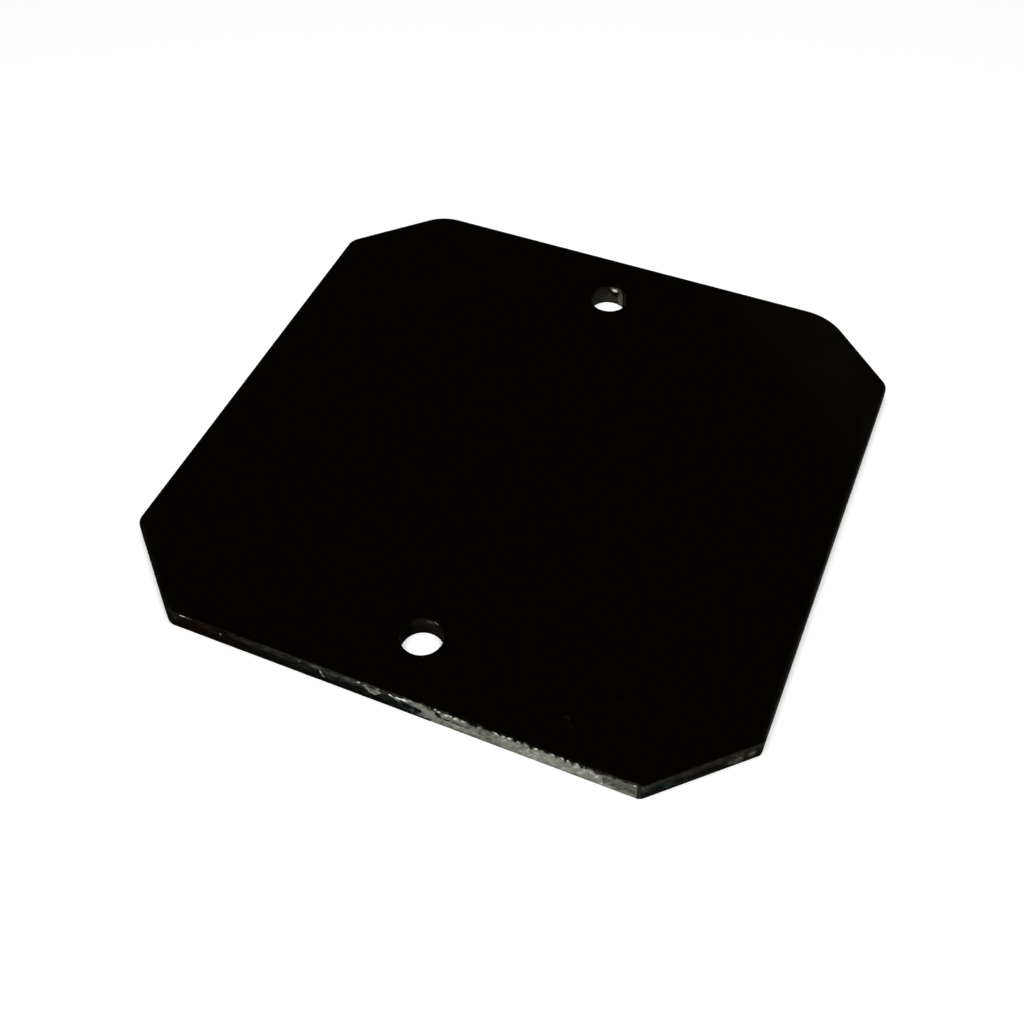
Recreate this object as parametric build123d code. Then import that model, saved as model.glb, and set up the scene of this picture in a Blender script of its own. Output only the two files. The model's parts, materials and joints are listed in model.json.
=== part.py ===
"""Square steel cover plate with clipped corners and two bolt holes, lying flat.

One sheared and punched piece of flat stock under a black coat. Millimetres, +Z up.
The origin is the centre of the underside. +Y runs along the line of the two holes,
and the last sheared edge, which is bare steel for half its length, faces -Y.
"""
import math
import os

from build123d import *

# Flat stock, ten gauge with its coat
thickness = 3.6

# Blank outline, across the flats each way
width = 96.3
depth = 96.3
corner_clip = 12.6          # each corner is clipped by this much along both sides

# Rounding of the eight outline vertices, well worn at the back and crisp at the front
back_left_round = 7.0       # back edge to clip
back_right_round = 9.0      # back edge to clip
back_side_round = 2.8       # clip to side, both back corners
front_left_round = 2.4      # both vertices of the front left clip
front_right_round = 1.3     # both vertices of the front right clip

# Section of the sheared edge, from the top face down
shoulder_r = 0.45           # top arris, drawn round by the blade
fracture_height = 2.1       # broken part of the edge, below the smooth cut band
fracture_lean = 0.06        # the broken part runs in by this much at the underside
underside_break = 0.05      # worn arris round the underside

# Bolt holes on the centre line, punched from the top face
hole_d = 6.2
hole_setback = 10.05        # from the front or back edge to the hole's centre
hole_shoulder_r = 0.15      # top rim, drawn down by the punch
breakout_height = 1.5       # torn cone below the punched land
breakout_flare = 0.03       # the cone opens by this much on the radius
hole_break = 0.05           # worn arris round the hole at the underside


def blank_outline(inset=0.0):
    """Face inside the blank's outline, with every side moved inwards by inset."""
    half_x = width / 2 - inset
    half_y = depth / 2 - inset
    clip = corner_clip - (2 - math.sqrt(2)) * inset
    front_left = [(-half_x, clip - half_y), (clip - half_x, -half_y)]
    front_right = [(half_x - clip, -half_y), (half_x, clip - half_y)]
    back_right = [(half_x, half_y - clip), (half_x - clip, half_y)]
    back_left = [(clip - half_x, half_y), (-half_x, half_y - clip)]
    rounds = [
        front_left_round,
        front_left_round,
        front_right_round,
        front_right_round,
        back_side_round,
        back_right_round,
        back_left_round,
        back_side_round,
    ]
    points = front_left + front_right + back_right + back_left
    return make_face(FilletPolyline(*points, radius=[r - inset for r in rounds], close=True))


def edge_band(inset, top, bottom, run_in):
    """Slice of the blank from top down to bottom, whose sides run in on the way down."""
    face = Pos(0, 0, top) * blank_outline(inset)
    lean = math.degrees(math.atan2(run_in, top - bottom))
    return extrude(face, amount=top - bottom, dir=(0, 0, -1), taper=lean)


def sheared_blank():
    """Plate without its holes: drawn shoulder, smooth cut band, broken band, worn arris."""
    cut = edge_band(0, thickness, fracture_height, 0)
    top_arris = cut.faces().sort_by(Axis.Z)[-1].outer_wire().edges()
    cut = fillet(top_arris, shoulder_r)
    lean_at_break = fracture_lean * (fracture_height - underside_break) / fracture_height
    broken = edge_band(0, fracture_height, underside_break, lean_at_break)
    worn = edge_band(lean_at_break, underside_break, 0, underside_break)
    return cut + broken + worn


def punch():
    """One hole as a solid: straight land, torn cone below it and a rounded top rim."""
    land_r = hole_d / 2
    mouth_r = land_r + breakout_flare
    rim_r = land_r + hole_shoulder_r
    rim_z = thickness - hole_shoulder_r
    overrun = thickness / 2
    with BuildSketch(Plane.XZ) as profile:
        with BuildLine():
            Polyline(
                (0, -overrun),
                (mouth_r + hole_break, -overrun),
                (mouth_r + hole_break, 0),
                (mouth_r, hole_break),
                (land_r, breakout_height),
                (land_r, rim_z),
            )
            RadiusArc((land_r, rim_z), (rim_r, thickness), hole_shoulder_r)
            Polyline(
                (rim_r, thickness),
                (rim_r, thickness + overrun),
                (0, thickness + overrun),
                (0, -overrun),
            )
        make_face()
    return revolve(profile.sketch, axis=Axis.Z)


def cover_plate():
    """The finished plate: the sheared blank with both holes punched through it."""
    hole_y = depth / 2 - hole_setback
    holes = [Pos(0, side * hole_y, 0) * punch() for side in (-1, 1)]
    return sheared_blank() - holes


os.makedirs("parts", exist_ok=True)
plate = cover_plate()
plate.label = "cover_plate"
export_step(plate, "parts/cover_plate.step")
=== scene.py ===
"""Looks of the square black cover plate: a sheared and punched piece of flat steel.

The plate's skin is one closed surface: a section carried round the blank's outline for the
sheared edges, two turned walls for the holes and two flat faces between them. The coat's
wear is worked out on that surface, so that the torn coat, the crack and the chips of the
front edge are both shape and colour. Lengths in the values are millimetres.
"""
import json
import math

import bpy
import numpy as np
from mathutils import Matrix, Vector, geometry


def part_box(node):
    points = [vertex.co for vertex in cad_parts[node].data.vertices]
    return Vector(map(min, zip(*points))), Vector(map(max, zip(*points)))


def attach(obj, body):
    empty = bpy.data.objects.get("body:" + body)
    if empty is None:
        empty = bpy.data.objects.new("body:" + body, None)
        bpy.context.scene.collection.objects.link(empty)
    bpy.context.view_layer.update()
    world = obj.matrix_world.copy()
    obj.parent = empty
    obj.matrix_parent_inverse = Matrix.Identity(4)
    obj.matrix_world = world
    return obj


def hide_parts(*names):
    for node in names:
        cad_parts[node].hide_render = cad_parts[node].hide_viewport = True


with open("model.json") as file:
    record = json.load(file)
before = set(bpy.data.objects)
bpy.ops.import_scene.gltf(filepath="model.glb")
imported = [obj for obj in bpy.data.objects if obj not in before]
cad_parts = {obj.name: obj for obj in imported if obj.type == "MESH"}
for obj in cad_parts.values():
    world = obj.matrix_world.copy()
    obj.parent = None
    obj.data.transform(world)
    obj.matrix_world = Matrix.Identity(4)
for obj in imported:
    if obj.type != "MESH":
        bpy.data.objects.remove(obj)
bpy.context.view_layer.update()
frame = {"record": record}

MM = 0.001

# Sizes read from the frame
low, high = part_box("cover_plate")
WIDTH = (high.x - low.x) / MM
DEPTH = (high.y - low.y) / MM
THICKNESS = (high.z - low.z) / MM
BORES = [m for m in frame["record"]["mounts"] if m["kind"] == "bore"]
HOLE_Y = sorted(m["pos_m"][1] / MM for m in BORES)
HOLE_R = BORES[0]["dims"]["r_mm"]

# Outline of the blank
CLIP = 12.6
BACK_LEFT_ROUND = 7.0
BACK_RIGHT_ROUND = 9.0
BACK_SIDE_ROUND = 2.8
FRONT_LEFT_ROUND = 2.4
FRONT_RIGHT_ROUND = 1.3

# Section of the sheared edge
SHOULDER_R = 0.45
FRACTURE_HEIGHT = 2.1
FRACTURE_LEAN = 0.06
UNDERSIDE_BREAK = 0.05
RIM_FLAT = 0.9              # flat of the faces that is carried with the section

# Section of the punched holes
HOLE_SHOULDER_R = 0.15
BREAKOUT_HEIGHT = 1.5
BREAKOUT_FLARE = 0.03
HOLE_BREAK = 0.05

# Spacing and numbers of the surface's points
FRONT_STEP = 0.1
CLIP_STEP = 0.14
PLAIN_STEP = 0.5
ARC_STEPS = 10
SHOULDER_POINTS = 8
CUT_POINTS = 10
BROKEN_POINTS = 17
WORN_POINTS = 4
RIM_POINTS = 5
UNDER_POINTS = 3
HOLE_SHOULDER_POINTS = 7
LAND_POINTS = 16
CONE_POINTS = 13
FACE_STEP = 2.0
MARK_STEP = 0.12
MARK_MARGIN = 0.2
HOLE_STEPS = 180
MERGE_DISTANCE = 1e-9       # points of a face that lie this close are one

# Sides of the outline, in the order in which it is walked
FRONT, FRONT_RIGHT_CLIP, RIGHT, BACK_RIGHT_CLIP, BACK, BACK_LEFT_CLIP, LEFT, FRONT_LEFT_CLIP = range(8)


def rounded_outline():
    """Stations round the outline: place, outward normal and side number, anticlockwise.

    Each side of the clipped square is a straight run between two tangent points, and each
    vertex is an arc about the point that lies one radius inside both of its sides.
    """
    hx, hy = WIDTH / 2, DEPTH / 2
    vertices = np.array([
        (CLIP - hx, -hy), (hx - CLIP, -hy), (hx, CLIP - hy), (hx, hy - CLIP),
        (hx - CLIP, hy), (CLIP - hx, hy), (-hx, hy - CLIP), (-hx, CLIP - hy),
    ])
    rounds = np.array([
        FRONT_LEFT_ROUND, FRONT_RIGHT_ROUND, FRONT_RIGHT_ROUND, BACK_SIDE_ROUND,
        BACK_RIGHT_ROUND, BACK_LEFT_ROUND, BACK_SIDE_ROUND, FRONT_LEFT_ROUND,
    ])
    steps = [FRONT_STEP, CLIP_STEP, *[PLAIN_STEP] * 5, CLIP_STEP]
    places, normals, sides = [], [], []
    half_turn = math.pi / 8     # half of the turn at each vertex
    for i, step in enumerate(steps):
        start, end = vertices[i], vertices[(i + 1) % 8]
        along = (end - start) / np.linalg.norm(end - start)
        out = np.array([along[1], -along[0]])
        r0, r1 = rounds[i], rounds[(i + 1) % 8]
        first = start + along * r0 * math.tan(half_turn)
        last = end - along * r1 * math.tan(half_turn)
        count = math.ceil(np.linalg.norm(last - first) / step)
        t = np.arange(count) / count
        places.append(first + t[:, None] * (last - first))
        normals.append(np.tile(out, (count, 1)))
        sides.append(np.full(count, i))
        centre = last - out * r1
        turn = np.arange(ARC_STEPS) / ARC_STEPS * 2 * half_turn
        arc_out = out * np.cos(turn)[:, None] + along * np.sin(turn)[:, None]
        places.append(centre + arc_out * r1)
        normals.append(arc_out)
        sides.append(np.full(ARC_STEPS, i))
    return np.concatenate(places), np.concatenate(normals), np.concatenate(sides)


def edge_section():
    """Rows of the sheared edge from the top face to the underside: inset, height, normal.

    Flat rim, quarter arc of the shoulder, upright cut band, broken band on its lean, worn
    arris and flat rim. The normal is given as (outwards, upwards).
    """
    r = SHOULDER_R
    rim = np.linspace(RIM_FLAT, r, RIM_POINTS)[:-1]
    arc = np.linspace(0, math.pi / 2, SHOULDER_POINTS)[:-1]
    cut = np.linspace(THICKNESS - r, FRACTURE_HEIGHT, CUT_POINTS)[:-1]
    lean_at_break = FRACTURE_LEAN * (FRACTURE_HEIGHT - UNDERSIDE_BREAK) / FRACTURE_HEIGHT
    lean = math.degrees(math.atan2(lean_at_break, FRACTURE_HEIGHT - UNDERSIDE_BREAK))
    broken = np.linspace(0, 1, BROKEN_POINTS)[:-1]
    worn = np.linspace(0, 1, WORN_POINTS)[:-1]
    foot = lean_at_break + UNDERSIDE_BREAK
    under = np.linspace(foot, RIM_FLAT, UNDER_POINTS)
    inset = np.concatenate([
        rim, r - r * np.sin(arc), 0 * cut, lean_at_break * broken,
        lean_at_break + UNDERSIDE_BREAK * worn, under,
    ])
    height = np.concatenate([
        THICKNESS + 0 * rim, THICKNESS - r + r * np.cos(arc), cut,
        FRACTURE_HEIGHT + (UNDERSIDE_BREAK - FRACTURE_HEIGHT) * broken,
        UNDERSIDE_BREAK * (1 - worn), 0 * under,
    ])
    tilt = np.concatenate([
        90 + 0 * rim, 90 - np.degrees(arc), 0 * cut, -lean + 0 * broken, -45 + 0 * worn,
        -90 + 0 * under,
    ])
    return inset, height, np.cos(np.radians(tilt)), np.sin(np.radians(tilt))


def lattice_noise(u, v, cell_u, cell_v, seed):
    """Smooth noise from 0 to 1: random values on a grid of cells, blended by a cubic step."""
    rng = np.random.default_rng(seed)
    size = 256
    values = rng.random((size, size))
    a, b = u / cell_u, v / cell_v
    i, j = np.floor(a).astype(int), np.floor(b).astype(int)
    f, g = a - i, b - j
    f, g = f * f * (3 - 2 * f), g * g * (3 - 2 * g)
    v00, v10 = values[i % size, j % size], values[(i + 1) % size, j % size]
    v01, v11 = values[i % size, (j + 1) % size], values[(i + 1) % size, (j + 1) % size]
    return (v00 * (1 - f) + v10 * f) * (1 - g) + (v01 * (1 - f) + v11 * f) * g


def ramp(value, start, end):
    """0 below start, 1 above end and a smooth cubic step between them."""
    t = np.clip((value - start) / (end - start), 0, 1)
    return t * t * (3 - 2 * t)


def between(value, rise, fall):
    """1 between the steps rise and fall, each given as start and end, and 0 outside them."""
    return ramp(value, *rise) * (1 - ramp(value, *fall))


def laid(value, new, amount):
    """The value moved towards new by an amount from 0 to 1."""
    return value + amount * (new - value)


def spot(x, q, centre_x, centre_q, half_x, half_q, tilt=0.0):
    """Signed field of an ellipse, in millimetres: above 0 inside it, below 0 outside."""
    c, s = math.cos(math.radians(tilt)), math.sin(math.radians(tilt))
    dx, dq = x - centre_x, q - centre_q
    a, b = (dx * c + dq * s) / half_x, (dq * c - dx * s) / half_q
    return (1 - np.sqrt(a * a + b * b)) * min(half_x, half_q)


def stroke(x, q, points, half_width):
    """Signed field of a line through points, in millimetres: above 0 on it, below 0 off it."""
    nearest = np.full(np.shape(x), np.inf)
    for (x0, q0), (x1, q1) in zip(points[:-1], points[1:]):
        lx, lq = x1 - x0, q1 - q0
        t = np.clip(((x - x0) * lx + (q - q0) * lq) / (lx * lx + lq * lq), 0, 1)
        nearest = np.minimum(nearest, np.hypot(x - x0 - t * lx, q - q0 - t * lq))
    return half_width - nearest


# Painted sheen on the top arris of each side: how much its shoulder is lightened grey
# in place of its reflection
ARRIS_SHEEN_ON_SIDE = {
    FRONT: 0.0, FRONT_RIGHT_CLIP: 0.0, RIGHT: 0.4, BACK_RIGHT_CLIP: 0.12, BACK: 0.14,
    BACK_LEFT_CLIP: 0.1, LEFT: 0.14, FRONT_LEFT_CLIP: 0.1,
}

# Wear and painted light of the front edge: x runs along it and q up it, and past the arris on
# over the top face.
# Tones run from 0, darkest, to 1, and a step is given by its start and its end.
# The coat ends on this line of q and x, and the steel is bare to the right of it.
COAT_END = [
    (0.0, 5.9), (0.3, 5.7), (0.6, 4.9), (0.9, 4.5), (1.9, 4.5), (2.15, 3.3), (2.4, 2.0), (3.5, 1.8),
]
BARE_END = 35.05            # the coat starts again here

# Torn lower border of the coat along the top arris of the bare stretch, as x and q
TORN_BORDER = [
    (1.8, 3.5), (5.8, 3.45), (6.1, 2.8), (6.4, 3.45), (9.1, 3.35), (9.2, 2.85), (9.35, 3.35),
    (10.2, 3.3), (10.35, 2.8), (10.5, 3.3), (11.2, 3.3), (11.6, 2.75), (12.1, 3.0), (12.5, 2.75),
    (12.8, 3.3), (13.3, 3.3), (13.8, 2.95), (14.6, 3.0), (14.8, 3.35), (15.5, 3.3), (15.8, 2.85),
    (16.1, 3.2), (16.7, 3.2), (16.9, 2.9), (17.1, 3.35), (17.8, 3.3), (18.1, 2.4), (18.35, 3.1),
    (18.8, 3.35), (19.15, 2.8), (19.4, 3.3), (20.0, 3.2), (20.4, 2.4), (20.8, 3.25), (21.3, 3.3),
    (21.5, 2.9), (21.7, 3.3), (22.1, 3.2), (22.7, 2.9), (23.2, 3.2), (23.7, 3.2), (23.95, 2.55),
    (24.2, 3.2), (24.9, 3.2), (25.2, 2.2), (25.45, 3.1), (25.85, 3.1), (26.25, 2.25), (26.65, 3.15),
    (27.1, 3.15), (27.4, 2.35), (27.8, 3.0), (28.05, 2.5), (28.35, 3.1), (28.9, 3.1), (29.2, 2.6),
    (29.8, 2.45), (30.3, 2.5), (30.7, 2.9), (31.5, 3.1), (32.0, 2.8), (32.7, 3.05), (33.3, 2.95),
    (33.8, 3.15), (34.3, 2.95), (34.7, 3.3), (35.2, 3.4),
]
BORDER_SLOPE = 0.7          # the border's field is flatter than the distance up q

# Metal shows in these places, and the brightest tones are painted glints:
# centre x, centre q, half length, half height, tilt, tone
METAL_FLECKS_AND_GLINTS = [
    (-32.85, 3.22, 0.64, 0.17, 6, 0.85), (-31.6, 3.15, 0.4, 0.08, -5, 0.14),
    (-26.75, 2.3, 0.15, 0.32, -15, 0.36), (-14.05, 2.95, 0.28, 0.22, -15, 0.22),
    (-10.8, 2.05, 0.19, 0.32, 5, 0.5), (-10.5, 1.42, 0.17, 0.24, 25, 0.4),
    (-5.55, 2.75, 0.36, 0.12, 35, 0.24), (-4.9, 3.05, 0.3, 0.14, 35, 0.62),
    (-4.0, 2.9, 0.46, 0.14, -14, 0.85), (-3.5, 2.4, 0.5, 0.36, -30, 0.4),
    (-2.85, 1.8, 0.6, 0.36, -10, 0.42), (-2.0, 2.4, 0.4, 0.5, -20, 0.38),
    (-1.9, 3.2, 0.46, 0.2, 25, 0.34), (-2.75, 2.45, 0.3, 0.3, 0, 0.24),
    (-0.05, 2.88, 0.32, 0.15, -15, 0.95), (0.85, 2.85, 0.24, 0.12, 0, 0.75),
    (1.5, 2.85, 0.52, 0.15, 4, 1.0), (0.75, 2.45, 0.55, 0.18, -25, 0.55),
]

# Brighter and darker places on the bare steel, given in the same way: the brightest, along the
# torn border at the top, are painted glints, and the rest are the steel's own marks
STEEL_GLINTS_AND_MARKS = [
    (6.95, 3.2, 0.42, 0.2, -35, 0.86), (8.45, 3.05, 0.5, 0.24, 20, 0.74),
    (9.55, 2.85, 0.42, 0.2, 40, 0.68), (10.75, 3.0, 0.46, 0.2, 40, 0.66),
    (13.0, 3.0, 0.16, 0.24, -20, 0.6), (15.35, 3.0, 0.42, 0.2, -20, 0.7),
    (16.4, 2.95, 0.2, 0.26, -25, 0.6), (17.4, 3.05, 0.26, 0.22, -30, 0.8),
    (18.65, 3.0, 0.18, 0.32, -30, 0.74), (19.7, 2.95, 0.18, 0.28, -30, 0.56),
    (21.1, 2.95, 0.2, 0.34, -35, 0.66), (21.95, 2.9, 0.16, 0.36, -25, 0.64),
    (23.35, 3.0, 0.18, 0.3, -35, 0.62), (24.55, 3.08, 0.36, 0.18, -8, 1.0),
    (24.9, 2.9, 0.2, 0.2, 0, 0.9), (25.6, 3.1, 0.15, 0.24, -25, 0.84),
    (26.8, 3.05, 0.2, 0.18, -30, 0.72), (28.6, 3.1, 0.24, 0.2, -15, 0.8),
    (34.75, 3.1, 0.12, 0.28, -10, 0.8), (2.6, 2.7, 0.5, 0.4, 0, 0.2), (3.4, 2.95, 0.7, 0.3, 0, 0.36),
    (4.2, 2.6, 0.9, 0.5, 0, 0.42), (24.6, 1.5, 1.0, 0.6, 0, 0.46), (22.3, 1.75, 0.5, 0.36, 0, 0.56),
    (28.6, 1.5, 1.5, 0.8, 0, 0.48), (5.6, 3.1, 0.22, 0.5, 30, 0.02), (6.25, 3.0, 0.16, 0.5, -10, 0.02),
    (5.5, 1.75, 0.6, 0.4, 0, 0.42), (12.2, 2.6, 0.7, 0.4, 30, 0.1), (13.6, 3.1, 0.26, 0.34, -20, 0.02),
    (14.3, 2.2, 0.4, 0.6, -40, 0.12), (10.5, 1.1, 2.6, 0.4, 0, 0.46), (17.6, 2.3, 1.0, 0.4, 0, 0.38),
    (14.3, 1.1, 0.7, 0.7, -40, 0.22), (20.4, 2.0, 0.12, 0.7, 0, 0.26), (19.15, 2.1, 0.12, 0.5, 0, 0.28),
    (13.1, 1.9, 0.16, 0.6, 0, 0.12), (16.0, 2.0, 0.6, 0.5, 0, 0.4), (8.6, 1.2, 0.9, 0.3, 0, 0.42),
    (7.2, 0.9, 0.6, 0.3, 0, 0.2), (31.3, 1.5, 0.7, 0.6, 0, 0.12), (33.9, 1.4, 0.5, 0.3, 0, 0.1),
    (32.8, 2.2, 0.9, 0.25, 15, 0.24), (31.0, 2.5, 0.5, 0.2, 0, 0.1), (32.0, 0.35, 1.2, 0.22, 0, 0.5),
    (34.0, 0.45, 0.9, 0.22, 0, 0.46),
]

# Coat that still clings to the bare stretch: centre x, centre q, half length, half height, tilt
CHIPS = [
    (7.0, 2.32, 0.6, 0.44, -50), (6.6, 2.85, 0.3, 0.2, -50), (8.35, 1.9, 0.5, 0.17, 12),
    (9.75, 1.78, 0.4, 0.06, -8), (11.0, 1.86, 0.45, 0.06, 6), (5.5, 0.4, 0.5, 0.13, 0),
    (1.9, 2.75, 0.24, 0.1, -30),
]

# The crack in the steel, as x and q, and the left border of the stain, as q and x
CRACK = [(7.2, 1.95), (7.9, 1.82), (8.8, 1.92), (9.6, 1.8), (10.5, 1.88), (11.5, 1.85)]
CRACK_HALF_WIDTH = 0.07
STAIN_START = [(0.4, 30.5), (1.2, 30.4), (2.0, 30.25), (2.9, 30.2)]

# Blue-green patches of coat beside the bare stretch:
# centre x, centre q, half length, half height, tilt, tone, tint
TEAL_PATCHES = [
    (0.8, 1.8, 1.0, 0.6, 0, 0.15, 0.3), (0.1, 1.75, 0.5, 0.3, -30, 0.08, 0.3),
    (1.0, 1.25, 0.45, 0.4, 0, 0.06, 0.35), (1.4, 1.7, 0.28, 0.45, 20, 0.38, 0.4),
    (3.0, 1.25, 1.4, 0.5, 0, 0.34, 0.2), (2.3, 1.65, 0.6, 0.42, -20, 0.05, 0.08),
    (3.1, 2.2, 0.5, 0.2, 0, 0.38, 0.3), (3.8, 1.5, 0.44, 0.44, 0, 0.08, 0.0),
    (3.1, 1.1, 0.2, 0.4, 0, 0.5, 0.25), (0.3, 0.7, 0.8, 0.25, 0, 0.2, 0.35),
    (1.8, 0.6, 0.8, 0.25, 0, 0.16, 0.3), (3.6, 0.55, 0.7, 0.25, 0, 0.26, 0.28),
    (4.3, 0.8, 0.35, 0.3, 0, 0.7, 0.3), (5.0, 0.9, 0.3, 0.4, 0, 0.7, 0.34),
    (-0.8, 1.8, 0.7, 0.7, 0, 0.17, 0.3), (-1.1, 0.8, 0.6, 0.35, 0, 0.07, 0.15),
    (-2.2, 1.1, 0.8, 0.4, 0, 0.1, 0.1), (-3.6, 1.1, 0.5, 0.5, 0, 0.13, 0.68),
    (-5.0, 1.9, 0.8, 0.4, 0, 0.12, 0.28), (-6.8, 1.4, 0.6, 0.5, 0, 0.06, 0.12),
    (-9.0, 0.8, 0.9, 0.35, 0, 0.07, 0.35), (-11.2, 0.85, 0.6, 0.35, 0, 0.1, 0.0),
    (-12.2, 1.0, 0.5, 0.4, 0, 0.06, 0.15),
]

# Grey blotches of the coat's upper band, partly scuffs and partly its painted reflection,
# from left to right: centre x, centre q, half length, half height, tilt, tone
GREY_PATCHES = [
    (-34.6, 2.3, 0.8, 1.0, 60, 0.28), (-32.5, 2.5, 0.8, 0.5, 20, 0.11), (-30.0, 2.7, 1.2, 0.4, 0, 0.16),
    (-28.0, 2.4, 0.9, 0.5, 30, 0.1), (-25.4, 2.9, 0.9, 0.35, 0, 0.16), (-23.0, 2.9, 1.0, 0.4, 0, 0.23),
    (-21.0, 2.8, 1.2, 0.4, 10, 0.3), (-19.0, 2.9, 1.2, 0.4, -5, 0.28), (-17.2, 2.8, 1.0, 0.45, 10, 0.3),
    (-15.8, 2.6, 0.7, 0.5, 30, 0.16), (-13.9, 2.9, 0.8, 0.4, 0, 0.48),
    (-13.6, 2.2, 0.9, 0.45, -30, 0.24), (-11.7, 3.0, 0.8, 0.35, 10, 0.62),
    (-10.2, 2.7, 0.5, 0.4, 30, 0.36), (-8.8, 2.9, 0.8, 0.4, 25, 0.58), (-9.6, 2.0, 0.8, 0.5, 40, 0.28),
    (-6.7, 2.9, 0.7, 0.4, 20, 0.56), (-7.4, 2.3, 0.6, 0.4, 30, 0.32), (-3.0, 3.0, 0.35, 0.3, 0, 0.23),
    (-1.0, 3.0, 0.4, 0.3, 0, 0.34), (-0.5, 2.4, 0.5, 0.3, 20, 0.34),
]

# Layers of noise on the front edge: cell along it, cell up it and seed
RAG = (0.4, 0.3, 11)        # ragged borders
STREAK = (0.17, 1.1, 12)    # drag marks of the shear
MOTTLE = (0.6, 0.5, 13)     # clouds of the steel
FINE = (0.16, 0.16, 18)     # grain of the steel
SCUFF = (0.28, 0.22, 23)    # scuffs of the steel under the torn border
BLOTCH = (1.3, 0.8, 15)     # large clouds of the coat
FLEECE = (0.4, 0.4, 19)     # small clouds of the coat
WISP = (0.9, 0.35, 20)      # slanting smears of the coat
SHIFT = (1.2, 0.8, 17)      # shifts of the coat's tint
MARK_SLANT = 0.5            # the marks lean by this much along x for each millimetre up
WISP_SLANT = 1.2            # and the smears by this much

# Full height of the raggedness, and the share of it that each kind of border takes
RAG_HEIGHT = 0.3
RAG_OF_END = 1.5
RAG_OF_BORDER = 1.3
RAG_OF_CHIPS = 0.5
RAG_OF_CRACK = 0.7
RAG_OF_GLINTS_AND_MARKS = 0.5
RAG_OF_PATCHES = 0.6

# Bare steel of the front edge
STEEL_TONE = 0.28
POLISH_TONE = 0.2           # added between its step and the stain
POLISH_STEP = (12, 22)
POLISH_BORDER = (-0.12, 0.12)
STAIN_TONE = 0.13           # taken off right of the stain's border, above the foot
STAIN_BORDER = (-0.04, 0.04)
STAIN_FOOT = (0.25, 0.6)
SCUFF_TONE = 0.06           # taken off under the torn border, and more where the noise is high
SCUFF_NOISE_TONE = 0.5
SCUFF_FOOT = (2.5, 2.95)
SCUFF_ENDS = ((9, 13), (29.5, 30.5))
GLINT_AND_MARK_SOFTNESS = (-0.16, 0.12)
FLECK_SOFTNESS = (-0.2, 0.02)
MOTTLE_TONE = 0.3
STREAK_TONE = 0.22
FINE_TONE = 0.14

# Coat of the front edge
COAT_TONE = 0.04
COAT_ENDS = (1.5, 3.5)      # along x, the grey band and the lower haze stop here
# The grey band just under the arris is a painted reflection of the lit floor
REFLECTION_BAND_Q = ((1.9, 2.7), (3.5, 3.8))
REFLECTION_BAND_TONE = 0.12
REFLECTION_BAND_GAINS = ((0.15, (-26, -20)), (0.17, (-13, -8)))
HAZE_TONE = 0.06
HAZE_Q = ((0.7, 1.5), (1.9, 2.7))
HAZE_STEP = (-20, -17)
FOOT_TONE = 0.06            # added at the foot of the left part
FOOT_Q = (0.3, 0.9)
LEFT_PART = (-16, -10)
CLOUD_TONE = 0.45
BLOTCH_TONE = 0.5
FLEECE_TONE = 0.6
WISP_TONE = 0.9
CLOUD_MIDDLE = 0.4
GREY_SOFTNESS = (-0.35, 0.3)
TEAL_SOFTNESS = (-0.25, 0.15)
TOP_FADE = (3.4, 3.8)

# Fringe of the tear: tone, step of the bare field, step along x and step where it fades up q
FRINGES = (
    (0.4, (-0.45, -0.05), (4, 5), (3.7, 4.0)),
    (0.5, (-1.0, -0.3), (12, 18), (3.0, 3.4)),
)
OVER_STAIN_TONE = 0.35      # coat above the stain
OVER_STAIN_STEP = (29, 29.8)
OVER_STAIN_Q = ((2.5, 2.9), (3.4, 3.7))
VERTEX_TONE = 0.32          # coat between the bare stretch and the clip
VERTEX_STEP = (BARE_END - 0.1, BARE_END + 0.1)
VERTEX_FADE = (3.3, 3.6)

# Tint of the coat: 0 is blue-green, 0.5 neutral and 1 brown
COAT_TINT = 0.54
BROWN_LEFT = 0.36
BROWN_LEFT_STEP = (-31, -21)
BROWN_FOOT = 0.25
BROWN_FOOT_Q = (0.4, 1.2)
TINT_SHIFT = 0.3


def wear_q(height, inset):
    """Height on the edge, running on over the top face by the distance from the arris."""
    return height + inset * (height > FRACTURE_HEIGHT)


def front_bare(x, q, rag):
    """Field of bare steel in millimetres: above 0 where the coat is gone.

    It is the least of the distances to the coat's end, to the torn border and to the coat's
    new start, and it is kept below 0 on the clinging chips and on the crack.
    """
    end = np.interp(q, *zip(*COAT_END))
    border = np.interp(x, *zip(*TORN_BORDER))
    bare = x - end + RAG_OF_END * rag
    bare = np.minimum(bare, BORDER_SLOPE * (border - q) + RAG_OF_BORDER * rag)
    bare = np.minimum(bare, BARE_END - x)
    for chip in CHIPS:
        bare = np.minimum(bare, RAG_OF_CHIPS * rag - spot(x, q, *chip))
    return np.minimum(bare, RAG_OF_CRACK * rag - stroke(x, q, CRACK, CRACK_HALF_WIDTH))


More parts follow.
